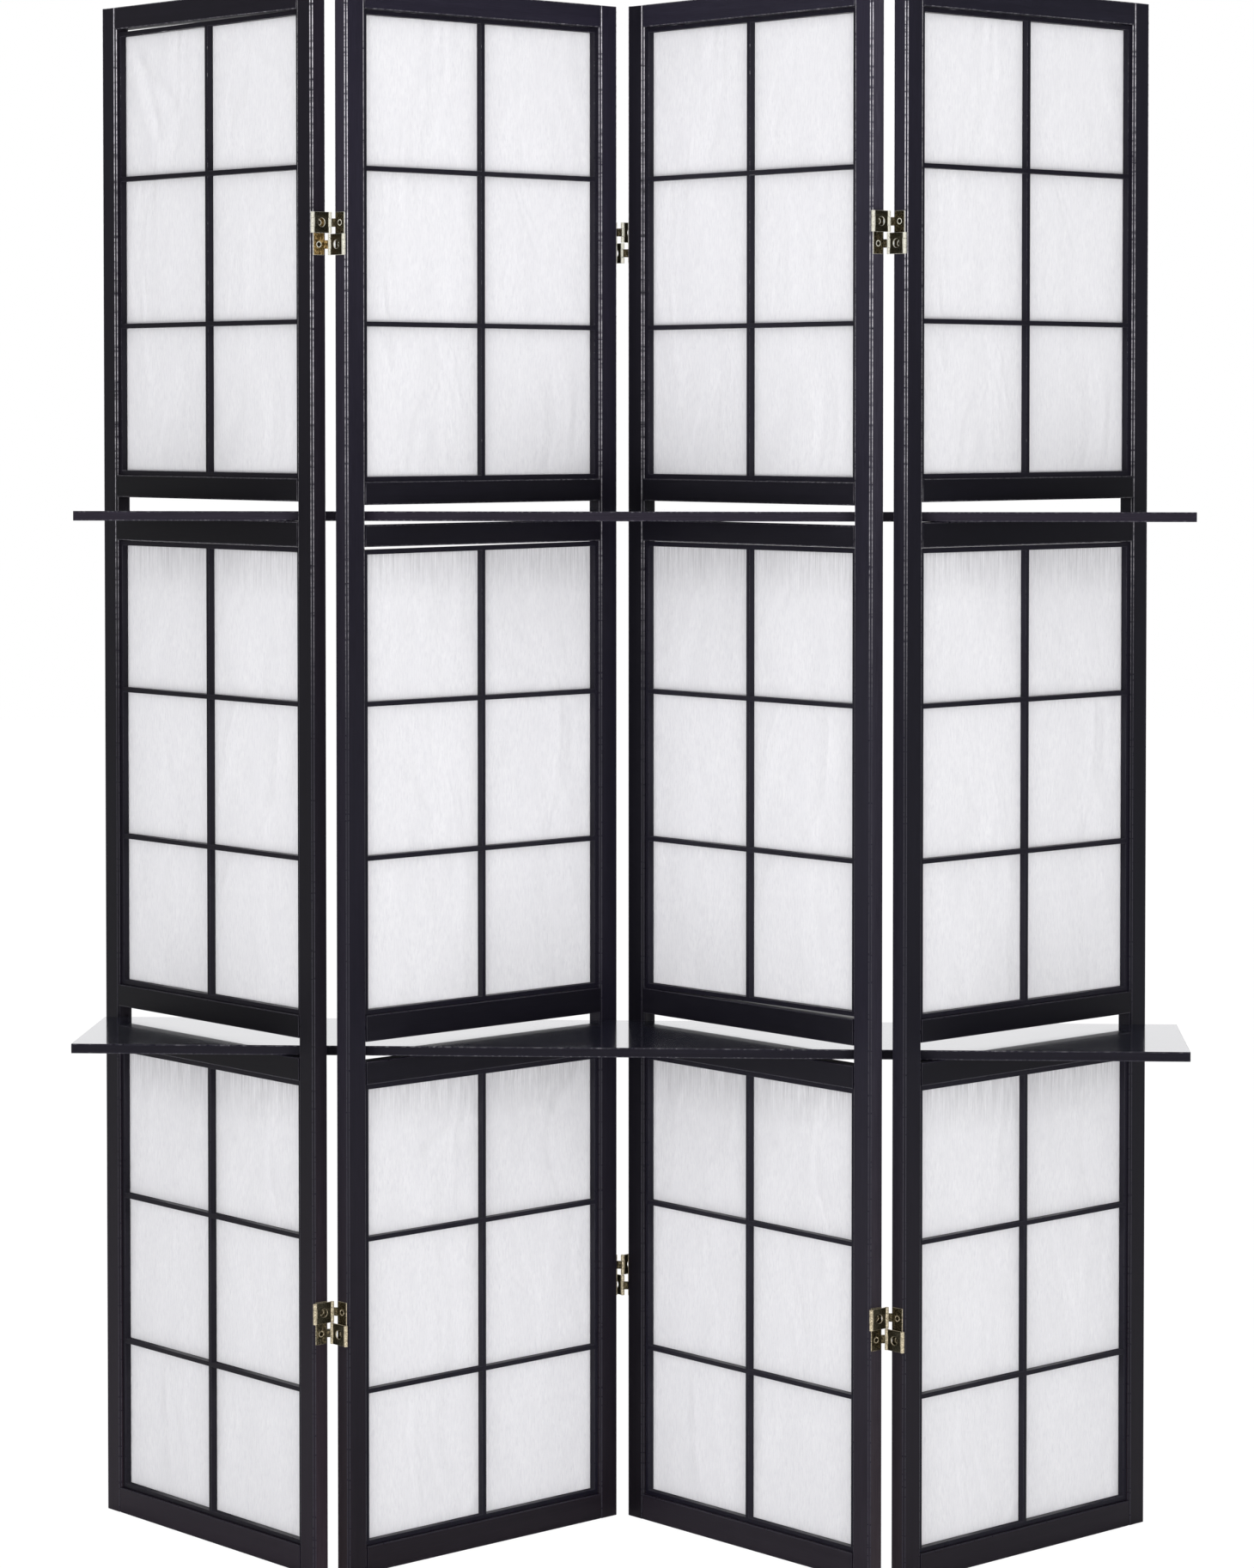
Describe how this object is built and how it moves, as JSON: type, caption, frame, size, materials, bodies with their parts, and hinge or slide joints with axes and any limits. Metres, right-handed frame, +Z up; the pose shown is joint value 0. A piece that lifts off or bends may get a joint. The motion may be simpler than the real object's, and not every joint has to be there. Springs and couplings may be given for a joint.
{
  "type": "folding screen",
  "caption": "Folding room screen of zigzag panels with paper behind black wooden lattices, double-action hinges and two shelf boards through slots.",
  "frame": {"origin": "on the floor, under the middle of the whole screen's box", "axes": "+X along the shelves to the right as seen from the front, +Y from the front to the back, +Z up"},
  "size_m": [1.2694, 0.3294, 1.785],
  "materials": {
    "frame_wood": "near-black satin lacquer over straight-grained softwood",
    "lattice_wood": "near-black satin lacquer on thin bars",
    "shelf_wood": "near-black lacquer, glossy on top",
    "paper": "white fibrous paper, matt and slightly translucent",
    "hinge_brass": "antique brass, dark with bright edges",
    "screw_brass": "antique brass countersunk heads",
    "pin_steel": "plain drawn wire"
  },
  "bodies": {
    "panel_1": {"panel_1_left_stile": "frame_wood", "panel_1_right_stile": "frame_wood", "panel_1_top_rail": "frame_wood", "panel_1_bottom_rail": "frame_wood", "panel_1_shelf_rails": "frame_wood", "panel_1_lattice_top": "lattice_wood", "panel_1_lattice_middle": "lattice_wood", "panel_1_lattice_bottom": "lattice_wood", "panel_1_paper": "paper", "panel_1_screws": "screw_brass", "panel_1_hinge_pins": "pin_steel", "panel_1_right_leaves": "hinge_brass", "left_hinge_upper_links": "hinge_brass"},
    "panel_2": {"panel_2_left_stile": "frame_wood", "panel_2_right_stile": "frame_wood", "panel_2_top_rail": "frame_wood", "panel_2_bottom_rail": "frame_wood", "panel_2_shelf_rails": "frame_wood", "panel_2_lattice_top": "lattice_wood", "panel_2_lattice_middle": "lattice_wood", "panel_2_lattice_bottom": "lattice_wood", "panel_2_paper": "paper", "panel_2_screws": "screw_brass", "panel_2_hinge_pins": "pin_steel", "panel_2_left_leaves": "hinge_brass", "panel_2_right_leaves": "hinge_brass", "left_hinge_lower_links": "hinge_brass", "centre_hinge_lower_links": "hinge_brass"},
    "panel_3": {"panel_3_left_stile": "frame_wood", "panel_3_right_stile": "frame_wood", "panel_3_top_rail": "frame_wood", "panel_3_bottom_rail": "frame_wood", "panel_3_shelf_rails": "frame_wood", "panel_3_lattice_top": "lattice_wood", "panel_3_lattice_middle": "lattice_wood", "panel_3_lattice_bottom": "lattice_wood", "panel_3_paper": "paper", "panel_3_screws": "screw_brass", "panel_3_hinge_pins": "pin_steel", "panel_3_left_leaves": "hinge_brass", "panel_3_right_leaves": "hinge_brass", "centre_hinge_upper_links": "hinge_brass", "right_hinge_upper_links": "hinge_brass"},
    "panel_4": {"panel_4_left_stile": "frame_wood", "panel_4_right_stile": "frame_wood", "panel_4_top_rail": "frame_wood", "panel_4_bottom_rail": "frame_wood", "panel_4_shelf_rails": "frame_wood", "panel_4_lattice_top": "lattice_wood", "panel_4_lattice_middle": "lattice_wood", "panel_4_lattice_bottom": "lattice_wood", "panel_4_paper": "paper", "panel_4_screws": "screw_brass", "panel_4_hinge_pins": "pin_steel", "panel_4_left_leaves": "hinge_brass", "right_hinge_lower_links": "hinge_brass"},
    "centre_pins": {"centre_hinge_pins": "pin_steel"},
    "upper_shelf": {"upper_shelf": "shelf_wood"},
    "lower_shelf": {"lower_shelf": "shelf_wood"}
  },
  "joints": [
    {"name": "fold_panel_3", "type": "hinge", "parent": "panel_2", "child": "panel_3", "pos_m": [-0.01956, 0.14611, 0.9], "axis": [0, 0, -1], "range_deg": [0, 86.2]},
    {"name": "fold_panel_1", "type": "hinge", "parent": "panel_2", "child": "panel_1", "pos_m": [-0.33071, -0.14611, 0.9], "axis": [0, 0, -1], "range_deg": [0, 86.2]},
    {"name": "fold_panel_4", "type": "hinge", "parent": "panel_3", "child": "panel_4", "pos_m": [0.29159, -0.14611, 0.9], "axis": [0, 0, 1], "range_deg": [0, 86.2]},
    {"name": "fold_shelf_line", "type": "hinge", "parent": "panel_2", "child": "centre_pins", "pos_m": [-0.01956, 0.14611, 0.9], "axis": [0, 0, -1], "range_deg": [0, 43.1]},
    {"name": "upper_shelf_slide", "type": "slide", "parent": "centre_pins", "child": "upper_shelf", "axis": [1, 0, 0], "range_m": [-0.5, 0.5]},
    {"name": "lower_shelf_slide", "type": "slide", "parent": "centre_pins", "child": "lower_shelf", "axis": [1, 0, 0], "range_m": [-0.5, 0.5]}
  ],
  "couplings": [
    {"joint": "fold_panel_1", "follows": "fold_panel_3", "ratio": 1},
    {"joint": "fold_panel_4", "follows": "fold_panel_3", "ratio": 1},
    {"joint": "fold_shelf_line", "follows": "fold_panel_3", "ratio": 0.5}
  ]
}
